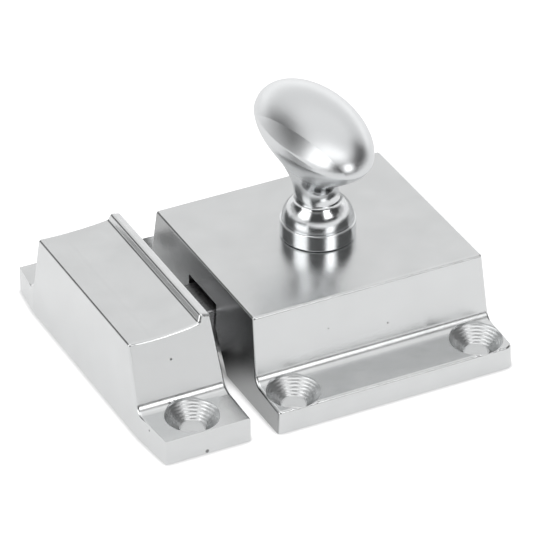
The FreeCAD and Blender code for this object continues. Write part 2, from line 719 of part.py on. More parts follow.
def make_knob():
    body = body_named("turn_knob")
    make_flare(body)
    trim_dome(body)
    sketch = sketch_on(body, "KnobSection", "XZ_Plane")
    collar_top = COLLAR_UNDER + S.collar_height
    bell_top = collar_top + S.bell_height
    neck_low = S.neck_low
    zero = term(0)
    outline(sketch, [(zero, COLLAR_UNDER), (S.collar_radius, COLLAR_UNDER),
                     (S.collar_radius, collar_top), (S.bell_radius, collar_top),
                     (S.bell_neck, bell_top), (S.neck_radius, neck_low), (zero, neck_low)],
            {3: (S.bell_round, True), 4: ((neck_low - bell_top) * 1.6, False)})
    turned(body, sketch, "KnobFoot")
    fillet(body, "CollarEdges", S.edge_radius / 2,
           lambda p, d: (math.hypot(p.x, p.y) > S.bell_radius.value + 0.1
                         and p.z < collar_top.value + 0.1))
    bore = sketch_on(body, "KnobBoreSection", "XZ_Plane")
    stud_top = JOURNAL_TOP + S.stud_length
    outline(bore, [(zero, COLLAR_UNDER - S.knob_gap), (S.spindle_radius, COLLAR_UNDER - S.knob_gap),
                   (S.spindle_radius, JOURNAL_TOP), (S.spindle_stud, JOURNAL_TOP),
                   (S.spindle_stud, stud_top), (zero, stud_top)])
    turned(body, bore, "KnobBore", "PartDesign::Groove")
    return body


# Spindle with its washer and clip

def make_spindle():
    """Stud, journal, clip groove, square for the cam, and tip journal."""
    body = body_named("spindle")
    sketch = sketch_on(body, "SpindleSection", "XZ_Plane")
    stud_top = JOURNAL_TOP + S.stud_length
    groove = S.spindle_radius - S.clip_groove
    zero = term(0)
    outline(sketch, [(zero, SQUARE_TOP), (S.spindle_radius, SQUARE_TOP),
                     (S.spindle_radius, CLIP_UNDER), (groove, CLIP_UNDER),
                     (groove, WASHER_UNDER), (S.spindle_radius, WASHER_UNDER),
                     (S.spindle_radius, JOURNAL_TOP), (S.spindle_stud, JOURNAL_TOP),
                     (S.spindle_stud, stud_top), (zero, stud_top)])
    turned(body, sketch, "Journal")
    square = sketch_on(body, "SquareOutline", "XY_Plane", HUB_UNDER)
    box_outline(square, S.spindle_square / 2, S.spindle_square / 2)
    pad(body, square, "Square", SQUARE_TOP - HUB_UNDER)
    tip = sketch_on(body, "TipOutline", "XY_Plane", HUB_UNDER)
    ring(tip, (zero, zero), S.spindle_tip)
    pad(body, tip, "Tip", S.tip_length, back=True)
    return body


def make_washer():
    body = body_named("knob_washer")
    sketch = sketch_on(body, "WasherOutline", "XY_Plane", WASHER_UNDER)
    ring(sketch, (term(0), term(0)), S.washer_radius)
    ring(sketch, (term(0), term(0)), S.spindle_radius + S.spindle_running)
    pad(body, sketch, "Washer", S.washer_thick)
    return body


def make_clip():
    """Open spring clip that snaps into the spindle's groove."""
    body = body_named("spindle_clip")
    sketch = sketch_on(body, "ClipOutline", "XY_Plane", CLIP_UNDER)
    ring(sketch, (term(0), term(0)), S.clip_radius)
    ring(sketch, (term(0), term(0)), S.spindle_radius - S.clip_groove)
    pad(body, sketch, "ClipRing", S.clip_thick)
    mouth = sketch_on(body, "ClipMouth", "XY_Plane", CLIP_UNDER)
    half = S.clip_mouth / 2
    zero = term(0)
    outline(mouth, [(zero, -half), (S.clip_radius * 2, -half), (S.clip_radius * 2, half),
                    (zero, half)])
    pocket(body, mouth, "Mouth", S.clip_thick, back=True)
    return body


# Cam: two mirrored lobes with involute flanks, so that the bolt moves evenly

def flank_point(length):
    """Point of the flank that touches the bolt when the string is this long."""
    turn = (length - CAM_REACH.value) / S.cam_base.value
    x, y = length, -S.cam_base.value
    return Vector(x * math.cos(turn) + y * math.sin(turn),
                  -x * math.sin(turn) + y * math.cos(turn), 0)


def lobe_face():
    """Plan of one lobe: involute flank, blunt tip, straight back to the hub."""
    longest = math.sqrt(S.cam_tip.value ** 2 - S.cam_base.value ** 2)
    count = 12
    shortest = CAM_REACH.value
    points = [flank_point(shortest + (longest - shortest) * i / count) for i in range(count + 1)]
    curve = Part.BSplineCurve()
    curve.interpolate(points)
    tip = points[-1]
    outward = Vector(tip.x, tip.y, 0).normalize()
    back = tip + Vector(outward.y, -outward.x, 0) * S.cam_back.value
    if back.x > tip.x:
        back = tip - Vector(outward.y, -outward.x, 0) * S.cam_back.value
    back = back - outward * (S.cam_back.value / 4)
    root = Vector(-S.cam_base.value * 0.9, 0, 0)
    inner = Vector(0, 0, 0)
    edges = [curve.toShape(), Part.makeLine(tip, back), Part.makeLine(back, root),
             Part.makeLine(root, inner), Part.makeLine(inner, points[0])]
    return Part.Face(Part.Wire(edges))


def make_cam():
    lobe = lobe_face()
    lobe.translate(Vector(0, 0, CAM_UNDER.value))
    first = lobe.extrude(Vector(0, 0, S.cam_thick.value))
    second = first.mirror(Vector(0, 0, 0), Vector(0, 1, 0))
    hub = Part.makeCylinder(S.cam_base.value, SQUARE_TOP.value - HUB_UNDER.value,
                            Vector(0, 0, HUB_UNDER.value))
    side = S.spindle_square.value
    square = Part.makeBox(side, side, SQUARE_TOP.value,
                          Vector(-side / 2, -side / 2, HUB_UNDER.value / 2))
    solid = hub.fuse([first, second]).cut(square).removeSplitter()
    cam = DOC.addObject("Part::Feature", "cam")
    cam.Label = "cam"
    cam.Shape = solid.Solids[0] if len(solid.Solids) == 1 else solid
    cam.Placement = Placement(Vector(0, 0, 0), Rotation())
    return cam


# Bolt: a bevelled nose on a frame that the cam works in

def make_bolt():
    body = body_named("latch_bolt")
    frame = sketch_on(body, "FrameOutline", "XY_Plane", BOLT_UNDER)
    outline(frame, [(FRAME_LEFT, -FRAME_Y), (FRAME_RIGHT, -FRAME_Y), (FRAME_RIGHT, FRAME_Y),
                    (FRAME_LEFT, FRAME_Y)])
    pad(body, frame, "Frame", S.frame_height)
    nose = sketch_on(body, "NoseSection", "XZ_Plane")
    bevel_top = S.bolt_top - S.bolt_nose
    outline(nose, [(NOSE_TIP + S.bolt_bevel, BOLT_UNDER), (WINDOW_LEFT, BOLT_UNDER),
                   (WINDOW_LEFT, S.bolt_top), (NOSE_TIP, S.bolt_top), (NOSE_TIP, bevel_top)])
    pad(body, nose, "Nose", S.bolt_width, middle=True)
    window = sketch_on(body, "WindowOutline", "XY_Plane", BOLT_UNDER)
    inner = FRAME_Y - S.frame_rail
    outline(window, [(WINDOW_LEFT, -inner), (WINDOW_RIGHT, -inner), (WINDOW_RIGHT, inner),
                     (WINDOW_LEFT, inner)])
    pocket(body, window, "Window", S.frame_height, back=True)
    bore = sketch_on(body, "PinBoreOutline", "YZ_Plane", CAM_REACH)
    ring(bore, (term(0), SPRING_Z), S.pin_radius + S.pin_play)
    pocket(body, bore, "PinBore", S.frame_end * 2, back=True)
    fillet(body, "NoseEdges", S.edge_radius,
           lambda p, d: near(p.z, S.bolt_top) or (near(p.x, NOSE_TIP) and abs(d.z) > 0.9))
    return body


def make_spring():
    """Compression spring between the bolt's frame and the end wall."""
    body = body_named("bolt_spring")
    start = FRAME_RIGHT + S.spring_wire / 2
    free = CAVITY_X - FRAME_RIGHT - S.spring_wire
    sketch = sketch_on(body, "WireSection", "XZ_Plane", None, (start, SPRING_Z))
    ring(sketch, (term(0), S.spring_coil), S.spring_wire / 2)
    helix = body.newObject("PartDesign::AdditiveHelix", "Coil")
    helix.Profile = sketch
    helix.ReferenceAxis = (sketch, ["H_Axis"])
    helix.Mode = "height-turns-angle"
    bind(helix, "Height", free)
    bind(helix, "Turns", S.spring_turns)
    DOC.recompute()
    return body


def make_pin():
    body = body_named("spring_pin")
    sketch = sketch_on(body, "PinOutline", "YZ_Plane", PIN_TIP)
    ring(sketch, (term(0), SPRING_Z), S.pin_radius)
    pad(body, sketch, "Pin", CAVITY_X + S.pin_seat - PIN_TIP)
    return body


# Back plate and its screws

def make_plate():
    body = body_named("back_plate")
    sketch = sketch_on(body, "PlateOutline", "XY_Plane", PLATE_UNDER)
    box_outline(sketch, CAVITY_X + S.plate_ledge - S.plate_play,
                CAVITY_Y + S.plate_ledge - S.plate_play)
    ring(sketch, (term(0), term(0)), S.spindle_tip + S.spindle_running)
    pad(body, sketch, "Plate", S.plate_thick)
    seat = screw_section(body, "PlateSeatSection", "turned")
    groove = turned(body, seat, "PlateSeat", "PartDesign::Groove")
    mirrored_copies(body, "PlateSeats", groove, ["YZ_Plane", "XZ_Plane"])
    return body


def screw_section(body, name, _kind=None):
    """Half section of a countersunk plate screw, shared by the screw and its seat."""
    sketch = sketch_on(body, name, "XZ_Plane", -PLATE_SCREW_Y, (PLATE_SCREW_X, term(0)))
    top = PLATE_UNDER + S.plate_screw_length
    cone = PLATE_UNDER + (S.plate_screw_head - S.plate_screw)
    zero = term(0)
    outline(sketch, [(zero, PLATE_UNDER), (S.plate_screw_head, PLATE_UNDER),
                     (S.plate_screw, cone), (S.plate_screw, top), (zero, top)])
    return sketch


def make_plate_screws():
    body = body_named("back_plate_screws")
    body.AllowCompound = True
    sketch = screw_section(body, "ScrewSection")
    screw = turned(body, sketch, "Screw")
    slot = sketch_on(body, "DriverSlot", "XY_Plane", PLATE_UNDER, (PLATE_SCREW_X, PLATE_SCREW_Y))
    box_outline(slot, S.plate_screw_head * 1.2, S.plate_screw_slot / 2)
    cut = pocket(body, slot, "Slot", S.plate_screw_slot, back=True)
    multi = mirrored_copies(body, "Screws", screw, ["YZ_Plane", "XZ_Plane"])
    multi.Originals = [screw, cut]
    DOC.recompute()
    return body


def check(pieces):
    """Stop if a feature failed or a piece has no sound shape."""
    for thing in DOC.Objects:
        for word in ("Invalid", "Error"):
            if word in thing.State:
                raise RuntimeError(f"{thing.Label}: {word}")
    for piece in pieces:
        if piece.Shape.isNull() or not piece.Shape.isValid() or not piece.Shape.Solids:
            raise RuntimeError(piece.Label + " has no sound shape")


def main():
    pieces = [make_case(), make_keeper(), make_knob(), make_spindle(), make_washer(), make_clip(),
              make_cam(), make_bolt(), make_spring(), make_pin(), make_plate(), make_plate_screws()]
    DOC.recompute()
    check(pieces)
    os.makedirs("parts", exist_ok=True)
    for piece in pieces:
        piece.Shape.exportStep(f"parts/{piece.Label}.step")
        box = piece.Shape.BoundBox
        print(f"{piece.Label}: {len(piece.Shape.Solids)} solid(s), {piece.Shape.Volume:.1f} mm3, "
              f"x {box.XMin:.2f}..{box.XMax:.2f} y {box.YMin:.2f}..{box.YMax:.2f} "
              f"z {box.ZMin:.2f}..{box.ZMax:.2f}")


main()
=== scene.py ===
import json
import math
from collections import namedtuple

import bmesh
import bpy
from bpy.props import FloatProperty, FloatVectorProperty, PointerProperty
from mathutils import Matrix, Vector

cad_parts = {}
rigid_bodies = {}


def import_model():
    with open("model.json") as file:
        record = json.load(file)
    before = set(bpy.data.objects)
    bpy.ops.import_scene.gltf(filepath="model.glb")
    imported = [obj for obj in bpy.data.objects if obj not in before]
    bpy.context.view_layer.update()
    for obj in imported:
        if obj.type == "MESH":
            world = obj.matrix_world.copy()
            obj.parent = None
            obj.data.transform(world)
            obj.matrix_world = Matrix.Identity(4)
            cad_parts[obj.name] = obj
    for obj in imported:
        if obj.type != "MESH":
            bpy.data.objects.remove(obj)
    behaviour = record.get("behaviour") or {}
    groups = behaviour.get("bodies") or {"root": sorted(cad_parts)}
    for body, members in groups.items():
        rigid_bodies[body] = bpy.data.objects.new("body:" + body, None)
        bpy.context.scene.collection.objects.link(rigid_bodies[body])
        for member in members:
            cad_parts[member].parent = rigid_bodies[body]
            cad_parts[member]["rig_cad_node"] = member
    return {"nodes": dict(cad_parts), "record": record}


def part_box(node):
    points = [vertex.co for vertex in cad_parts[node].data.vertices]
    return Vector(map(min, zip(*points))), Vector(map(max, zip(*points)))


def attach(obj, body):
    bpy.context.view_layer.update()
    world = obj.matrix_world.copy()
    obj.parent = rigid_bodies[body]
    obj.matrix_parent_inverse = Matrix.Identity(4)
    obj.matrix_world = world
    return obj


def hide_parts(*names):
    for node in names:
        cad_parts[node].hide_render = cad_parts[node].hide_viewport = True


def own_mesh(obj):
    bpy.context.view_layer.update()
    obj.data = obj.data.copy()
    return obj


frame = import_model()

bl_info = {
    "name": "Cupboard Catch Latch",
    "version": (1, 0, 0),
    "blender": (4, 5, 0),
    "location": "View3D > Sidebar > Latch",
    "description": "Finishes a cupboard catch latch and its keeper in satin chrome and stages it on white",
    "category": "Object",
}

# Lengths are in millimetres, as the materials read them, and times MM they are Blender's metres
MM = 0.001
NODES = frame["nodes"]
MOUNTS = {mount["name"]: mount for mount in frame["record"]["mounts"]}
CASE_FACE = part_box("latch_case")[0][0] / MM
KEEPER_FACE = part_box("keeper")[1][0] / MM

# Noise: usual ends of its values, and cells for each millimetre
NOISE_ENDS = (0.3, 0.7)
GRAIN_CELLS, WAVE_CELLS, CLOUD_CELLS = 14.0, 0.45, 0.16
KNOB_GRAIN_CELLS, KNOB_CLOUD_CELLS, TURNING_CELLS = 16.0, 0.22, 9.0
STEEL_GRAIN_CELLS, STEEL_CLOUD_CELLS = 6.0, 0.5

# Castings: depth of the surface's waves, and how far clouds change its tone and roughness
WAVE_DEPTH = 0.012
CLOUD_TONE, CLOUD_ROUGH = 0.03, 0.12

# Countersinks: the tool rings keep to the cone, which the surface's slope tells from the flat and the bore
RIM_RADIUS, RIM_SOFT = 4.65, 0.08
CONE_SLOPE_LOW, CONE_SLOPE_HIGH = (0.35, 0.50), (0.90, 0.96)
FLANGE_TOP, FLANGE_SOFT = 4.75, 0.2
RING_DEPTH, RING_ROUGH, RING_WANDER, RING_CELLS = 0.018, 0.08, 3.0, 0.9

# Casting pits on the front of both castings, with painted shade in them: shares of a pit's radius that
# are full depth and fully shaded, and how much darker the painted shade makes a pit
PIT_FLAT, PIT_SHADE_CORE, PIT_PAINTED_SHADE = 0.2, 0.4, 0.7
Pit = namedtuple("Pit", "x y z radius depth")
CASE_PITS = (
    Pit(3.0, -19.9, 9.0, 0.22, 0.01),
    Pit(-8.0, -19.6, 11.0, 0.18, 0.01),
)
KEEPER_PITS = (
    Pit(-36.14, -17.82, 12.43, 0.28, 0.03),
    Pit(-37.46, -19.97, 5.40, 0.30, 0.05),
    Pit(-37.00, -19.80, 5.38, 0.18, 0.04),
    Pit(-36.55, -19.75, 5.42, 0.26, 0.05),
    Pit(-35.95, -19.75, 5.42, 0.22, 0.05),
    Pit(-35.30, -19.75, 5.42, 0.16, 0.04),
    Pit(-42.95, -23.50, 3.80, 0.26, 0.04),
    Pit(-34.95, -28.70, 0.45, 0.45, 0.06),
)

# The case's end face in the gap gets painted shade, a darker tone for the gap's deep shade: how much
# darker, how far in from the case's end, and the X part of the direction in which it faces
GAP_FACE_PAINTED_SHADE = 0.45
GAP_FACE_DEPTH, GAP_FACE_SOFT = 1.4, 0.3
GAP_FACING = (-0.9, -0.6)

# Knob: heights above the door between which polish gives way to satin, depths of its turning lines,
# grain and waves, and how far clouds change its roughness
SATIN_FROM, SATIN_TO = 26.0, 33.0
TURNING_DEPTH, KNOB_GRAIN_DEPTH, KNOB_WAVE_DEPTH = 0.004, 0.0035, 0.01
KNOB_CLOUD_ROUGH = 0.08

# The oval's left flank: the plane that cuts the oval along the flank's ridge line, how far the ridge
# rounds over inward of it, the height of the dome's foot, and the slope that the flank gains
RIDGE_NORMAL, RIDGE_OFFSET = (0.892, 0.197, 0.406), 9.838
RIDGE_SPREAD = 2.6
DOME_FOOT = 37.75
FLANK_SLOPE = 0.18

# Keeps the flank's division from zero where it has no width
FLANK_LEAST = 0.05

# The bell: its foot and top, the slope that its turning gains at the foot, and how that grows upwards
BELL_FOOT, BELL_TOP = 19.7, 23.9
BELL_SLOPE, BELL_CROWN = 0.24, 0.004

# Steels: depth of the grain, how far clouds change the tone and the grain the roughness, and each hidden
# piece's colour, roughness and number of grain cells along each axis, as a share of the usual number
STEEL_GRAIN_DEPTH, STEEL_TONE, STEEL_ROUGH = 0.006, 0.06, 0.06
Steel = namedtuple("Steel", "colour rough stretch", defaults=((1.0, 1.0, 1.0),))
STEELS = {
    "spindle": Steel((0.50, 0.50, 0.51), 0.28, (1.0, 1.0, 6.0)),
    "knob_washer": Steel((0.52, 0.52, 0.50), 0.35),
    "spindle_clip": Steel((0.09, 0.09, 0.10), 0.40),
    "cam": Steel((0.33, 0.33, 0.34), 0.42),
    "spring_pin": Steel((0.50, 0.50, 0.51), 0.25, (0.2, 1.0, 1.0)),
}

# Spring: turns and wire as in the CAD model, turns closed up at each end, and how finely the wire is drawn
SPRING_TURNS, CLOSED_TURNS = 6.5, 0.8
SPRING_WIRE = 0.6 * MM
STEPS_PER_TURN, WIRE_SIDES = 28, 10

# Camera, fitted to the photograph's edges: degrees and millimetres, and in metres what it clips
CAMERA_AZIMUTH, CAMERA_ELEVATION, CAMERA_ROLL = -26.611, 33.133, -0.116
CAMERA_TARGET = (-4.520, 7.174, 5.0)
CAMERA_DISTANCE = 782.46
CAMERA_LENS, CAMERA_SENSOR = 298.59, 36.0
CAMERA_CLIP = (0.01, 20.0)

# Studio: each panel's middle, half its width and height and its soft edge, in degrees, and its strength
StudioPanel = namedtuple("StudioPanel", "azimuth elevation half_width half_height soft strength")
STUDIO_PANELS = {
    "overhead": StudioPanel(0, 90, 180, 30, 20, 0.85),
    "crown": StudioPanel(-36, 77, 80, 9, 12, 0.74),
    "rear sweep": StudioPanel(149, 22, 40, 22, 16, 0.78),
    "left box": StudioPanel(-80, 25, 15, 11, 13, 2.20),
    "right box": StudioPanel(13, 29, 9, 9, 9, 2.90),
    "table's far edge": StudioPanel(165, 0, 118, 8, 10, 0.50),
}
WHITE = (1.0, 1.0, 1.0, 1.0)

# Floor, in metres: half its side, and how far it lies below the latch's back, so that they don't coincide
FLOOR_HALF, FLOOR_DROP = 3.0, 0.05 * MM

# Floor's paint in the open and its painted shade in the gap, its own glow, and what the camera sees on top of
# that
FLOOR_PAINT, GAP_PAINTED_SHADE = (0.60, 0.60, 0.60, 1.0), (0.16, 0.16, 0.16, 1.0)
FLOOR_GLOW, CAMERA_GLOW = 0.50, 0.30

# Painted shade on the floor in the gap, darkening its paint and glow: how softly it ends beside the gap,
# half its full length, and how far it fades out
GAP_SOFT, GAP_SHADE_HALF, GAP_SHADE_FADE = 2.0, 4.0, 12.0

# Contact shadow at the foot: reach in metres, the openness where it starts and ends, and its deepest shade
CONTACT_REACH, CONTACT_SAMPLES = 1.5 * MM, 8
CONTACT_ENDS, CONTACT_SHADE = (0.45, 0.95), 0.35


def remove_startup_objects():
    """Remove the default cube, lamp and camera, which aren't part of the scene."""
    for thing in list(bpy.data.objects):
        if "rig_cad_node" not in thing and not thing.name.startswith("body:"):
            bpy.data.objects.remove(thing, do_unlink=True)


# Node graphs

class Graph:
    """Adds shader nodes by kind and joins them by value or socket."""

    def __init__(self, tree):
        self.tree = tree
        tree.nodes.clear()

    def add(self, kind, inputs=None, **settings):
        node = self.tree.nodes.new(kind)
        for name, value in settings.items():
            setattr(node, name, value)
        for key, value in (inputs or {}).items():
            self.feed(node.inputs[key], value)
        return node

    def feed(self, socket, value):
        if isinstance(value, bpy.types.NodeSocket):
            self.tree.links.new(value, socket)
        else:
            socket.default_value = value

    def math(self, operation, first, second=0.0, third=0.0):
        node = self.add("ShaderNodeMath", {0: first, 1: second}, operation=operation)
        if operation in ("MULTIPLY_ADD", "WRAP"):
            self.feed(node.inputs[2], third)
        return node.outputs[0]

    def vector(self, operation, first, second=(0, 0, 0), scale=None):
        node = self.add("ShaderNodeVectorMath", {0: first, 1: second}, operation=operation)
        if scale is not None:
            self.feed(node.inputs["Scale"], scale)
        return node.outputs["Value" if operation in ("DISTANCE", "DOT_PRODUCT") else 0]

    def remap(self, value, low, high, to_low=0.0, to_high=1.0, kind="SMOOTHSTEP"):
        node = self.add("ShaderNodeMapRange", {"Value": value, "From Min": low, "From Max": high,
                                               "To Min": to_low, "To Max": to_high},
                        interpolation_type=kind)
        return node.outputs["Result"]

    def noise(self, where, scale, detail=2.0, roughness=0.5):
        node = self.add("ShaderNodeTexNoise", {"Vector": where, "Scale": scale, "Detail": detail,
                                               "Roughness": roughness})
        return node.outputs["Fac"]

    def mix(self, share, first, second):
        node = self.add("ShaderNodeMix", data_type="RGBA")
        for index, value in ((0, share), (6, first), (7, second)):
            self.feed(node.inputs[index], value)
        return node.outputs[2]

    def split(self, vector):
        return self.add("ShaderNodeSeparateXYZ", {0: vector}).outputs

    def beyond(self, value, start):
        """How far a value is past its start, and nothing before it."""
        return self.math("MAXIMUM", self.math("SUBTRACT", value, start), 0.0)

    def facing(self):
        """The surface's own direction, as its three parts."""
        return self.split(self.add("ShaderNodeTexCoord").outputs["Normal"])

    def finish_metal(self, shade, roughness, height):
        """Metal of this colour and roughness, with a relief whose height is in millimetres."""
        bump = self.add("ShaderNodeBump", {"Height": height, "Strength": 1.0, "Distance": MM})
        shader = self.add("ShaderNodeBsdfPrincipled", {
            "Base Color": shade, "Metallic": 1.0, "Roughness": roughness, "Normal": bump.outputs[0]})
        self.add("ShaderNodeOutputMaterial", {"Surface": shader.outputs[0]})


def new_material(name):
    material = bpy.data.materials.new(name)
    material.use_nodes = True
    return material, Graph(material.node_tree)


def position_mm(graph):
    """Place on the piece in millimetres, the same in every pose."""
    coord = graph.add("ShaderNodeTexCoord")
    return graph.vector("SCALE", coord.outputs["Object"], scale=1.0 / MM)


# Castings

def pit_relief(graph, place, pits):
    """Height that falls by each pit's depth around its middle, and the painted shade in the pits."""
    height, painted_shade = 0.0, 0.0
    for pit in pits:
        away = graph.vector("DISTANCE", place, (pit.x, pit.y, pit.z))
        dip = graph.remap(away, pit.radius * PIT_FLAT, pit.radius, -pit.depth, 0.0)
        height = graph.math("ADD", dip, height)
        # Painted shade in each pit, full at its core
        shade = graph.remap(away, pit.radius * PIT_SHADE_CORE, pit.radius, 1.0, 0.0)
        painted_shade = graph.math("MAXIMUM", shade, painted_shade)
    return height, painted_shade


def tool_rings(graph, place, screws, pitch):
    """Tool rings in the countersinks: a height wave that runs out at the rim, and where it lies."""
    x, y, z = graph.split(place)
    off_screw = []
    for value, (middle, offset) in zip((x, y), screws):
        side = graph.math("ABSOLUTE", graph.math("SUBTRACT", value, middle))
        off_screw.append(graph.math("POWER", graph.math("SUBTRACT", side, offset), 2.0))
    away = graph.math("SQRT", graph.math("ADD", *off_screw))
    slope = graph.facing()[2]
    inside = graph.math("MULTIPLY", graph.remap(slope, *CONE_SLOPE_LOW),
                        graph.remap(slope, *CONE_SLOPE_HIGH, 1.0, 0.0))
    inside = graph.math("MULTIPLY", graph.remap(away, RIM_RADIUS, RIM_RADIUS + RIM_SOFT, 1.0, 0.0), inside)
    inside = graph.math("MULTIPLY", inside,
                        graph.remap(z, FLANGE_TOP, FLANGE_TOP + FLANGE_SOFT, 1.0, 0.0))
    uneven = graph.noise(place, RING_CELLS, 1.0)
    phase = graph.math("MULTIPLY_ADD", uneven, RING_WANDER, graph.math("MULTIPLY", away, 2 * math.pi / pitch))
    wave = graph.math("MULTIPLY_ADD", graph.math("SINE", phase), 0.5, 0.5)
    return graph.math("MULTIPLY", wave, inside), inside


def in_gap(graph, place):
    """Share of the case's end face that stands in the gap beside the keeper, where shade is painted."""
    edge = CASE_FACE + GAP_FACE_DEPTH
    return graph.math("MULTIPLY", graph.remap(graph.facing()[0], *GAP_FACING, 1.0, 0.0),
                      graph.remap(graph.split(place)[0], edge, edge + GAP_FACE_SOFT, 1.0, 0.0))


def satin_metal(name, look, screws, pits, painted_shade_in_gap=False):
    """Plated casting: fine satin grain, faint waviness, cloudy tone, tool rings and pits, with painted shade
    in the pits and, when asked, on the end face in the gap.
    """
    material, graph = new_material(name)
    place = position_mm(graph)
    fine = graph.noise(place, GRAIN_CELLS, 3.0, 0.7)
    cloud = graph.noise(place, CLOUD_CELLS, 3.0, 0.55)
    wave = graph.noise(place, WAVE_CELLS, 1.0)
    tone = graph.remap(cloud, *NOISE_ENDS, 1.0 - CLOUD_TONE, 1.0 + CLOUD_TONE, "LINEAR")
    if painted_shade_in_gap:
        # Painted shade: a darker tone on the end face in the gap
        tone = graph.math("MULTIPLY", tone, graph.math("MULTIPLY_ADD", in_gap(graph, place), -GAP_FACE_PAINTED_SHADE, 1.0))
    rings, inside = tool_rings(graph, place, screws, look.ring_pitch / MM)
    dip, painted_shade = pit_relief(graph, place, pits)
    # Painted shade: the pits' tone darkened
    tone = graph.math("MULTIPLY", tone, graph.math("MULTIPLY_ADD", painted_shade, -PIT_PAINTED_SHADE, 1.0))
    roughness = graph.math("MULTIPLY_ADD", graph.math("SUBTRACT", cloud, 0.5), CLOUD_ROUGH, look.satin)
    roughness = graph.math("MULTIPLY_ADD", inside, RING_ROUGH, roughness)
    height = graph.math("MULTIPLY", fine, look.grain / MM)
    for relief, depth in ((wave, WAVE_DEPTH), (rings, RING_DEPTH), (dip, 1.0)):
        height = graph.math("MULTIPLY_ADD", relief, depth, height)
    graph.finish_metal(graph.vector("SCALE", tuple(look.chrome), scale=tone), roughness, height)
    return material


# Knob

def flank_relief(graph, place):
    """Relief of the oval's left flank: hollow below the ridge line, easing off inward of it."""
    off = graph.math("SUBTRACT", graph.vector("DOT_PRODUCT", place, RIDGE_NORMAL), RIDGE_OFFSET)
    inward = graph.math("MAXIMUM", off, 0.0)
    below = graph.math("MAXIMUM", graph.math("MULTIPLY", off, -1.0), 0.0)
    above = graph.beyond(graph.split(place)[2], DOME_FOOT)
    total = graph.math("ADD", graph.math("ADD", below, above), FLANK_LEAST)
    hollow = graph.math("DIVIDE", graph.math("MULTIPLY", below, above), total)
    fade = graph.math("EXPONENT", graph.math("MULTIPLY", inward, -1.0 / RIDGE_SPREAD))
    return graph.math("SUBTRACT", graph.math("MULTIPLY", fade, FLANK_SLOPE * RIDGE_SPREAD),
                      graph.math("MULTIPLY", hollow, FLANK_SLOPE))


def bell_relief(graph, z):
    """Relief that turns the bell fuller at its foot and steeper towards its top."""
    rise = graph.math("MINIMUM", graph.beyond(z, BELL_FOOT), BELL_TOP - BELL_FOOT)
    slope = graph.math("MULTIPLY_ADD", graph.math("POWER", rise, 2.0), BELL_CROWN, BELL_SLOPE)
    return graph.math("MULTIPLY", rise, slope)


def knob_metal(name, look):
    """Knob: polished, finely turned foot below, satin above, with the ridge on the oval's left flank."""
    material, graph = new_material(name)
    place = position_mm(graph)
    z = graph.split(place)[2]
    satin = graph.remap(z, SATIN_FROM, SATIN_TO)
    fine = graph.noise(place, KNOB_GRAIN_CELLS, 3.0, 0.7)
    cloud = graph.noise(place, KNOB_CLOUD_CELLS, 2.0)
    lines = graph.add("ShaderNodeTexNoise", {"W": graph.math("MULTIPLY", z, TURNING_CELLS), "Detail": 3.0},
                      noise_dimensions="1D").outputs["Fac"]
    line_depth = graph.math("MULTIPLY", graph.math("SUBTRACT", 1.0, satin), TURNING_DEPTH)
    height = graph.math("MULTIPLY", lines, line_depth)
    height = graph.math("MULTIPLY_ADD", graph.math("MULTIPLY", fine, satin), KNOB_GRAIN_DEPTH, height)
    height = graph.math("MULTIPLY_ADD", cloud, KNOB_WAVE_DEPTH, height)
    height = graph.math("ADD", height, flank_relief(graph, place))
    height = graph.math("ADD", height, bell_relief(graph, z))
    roughness = graph.math("MULTIPLY_ADD", satin, look.knob_satin - look.polish, look.polish)
    roughness = graph.math("MULTIPLY_ADD", graph.math("SUBTRACT", cloud, 0.5), KNOB_CLOUD_ROUGH, roughness)
    graph.finish_metal((*look.knob_chrome, 1.0), roughness, height)
    return material


# Bolt and hidden pieces

def steel_metal(name, steel):
    """Drawn or turned steel: grain along one direction, with a faint cloudy tone."""
    material, graph = new_material(name)
    place = graph.vector("MULTIPLY", position_mm(graph), steel.stretch)
    fine = graph.noise(place, STEEL_GRAIN_CELLS, 4.0, 0.65)
    cloud = graph.noise(place, STEEL_CLOUD_CELLS, 2.0)
    tone = graph.remap(cloud, *NOISE_ENDS, 1.0 - STEEL_TONE, 1.0 + STEEL_TONE, "LINEAR")
    roughness = graph.remap(fine, *NOISE_ENDS, steel.rough - STEEL_ROUGH, steel.rough + STEEL_ROUGH, "LINEAR")
    height = graph.math("MULTIPLY", fine, STEEL_GRAIN_DEPTH)
    graph.finish_metal(graph.vector("SCALE", tuple(steel.colour), scale=tone), roughness, height)
    return material


def dress(node, material):
    """Give a CAD node its material in every slot."""
    thing = NODES[node]
    if not thing.material_slots:
        thing.data.materials.append(material)
    for slot in thing.material_slots:
        slot.material = material


# What a user would change

class LatchLooks(bpy.types.PropertyGroup):
    chrome: FloatVectorProperty(
        name="Satin chrome", description="Colour of the plated castings", subtype="COLOR",
        size=3, min=0.0, max=1.0, default=(0.712, 0.721, 0.724))
    knob_chrome: FloatVectorProperty(
        name="Knob chrome", description="Colour of the turn knob", subtype="COLOR",
        size=3, min=0.0, max=1.0, default=(0.708, 0.720, 0.729))
    satin: FloatProperty(
        name="Satin roughness", description="How widely the castings spread a highlight",
        subtype="FACTOR", default=0.24, min=0.0, max=1.0)
    knob_satin: FloatProperty(
        name="Oval roughness", description="How widely the knob's oval spreads a highlight",
        subtype="FACTOR", default=0.31, min=0.0, max=1.0)
    polish: FloatProperty(
        name="Foot roughness", description="How widely the knob's turned foot spreads a highlight",
        subtype="FACTOR", default=0.12, min=0.0, max=1.0)
    grain: FloatProperty(
        name="Grain depth", description="Depth of the castings' satin grain",
        subtype="DISTANCE", precision=6, default=0.004 * MM, min=0.0, max=0.05 * MM)
    ring_pitch: FloatProperty(
        name="Tool ring pitch", description="Distance between the countersinks' tool rings",
        subtype="DISTANCE", precision=5, default=0.42 * MM, min=0.1 * MM, max=3.0 * MM)


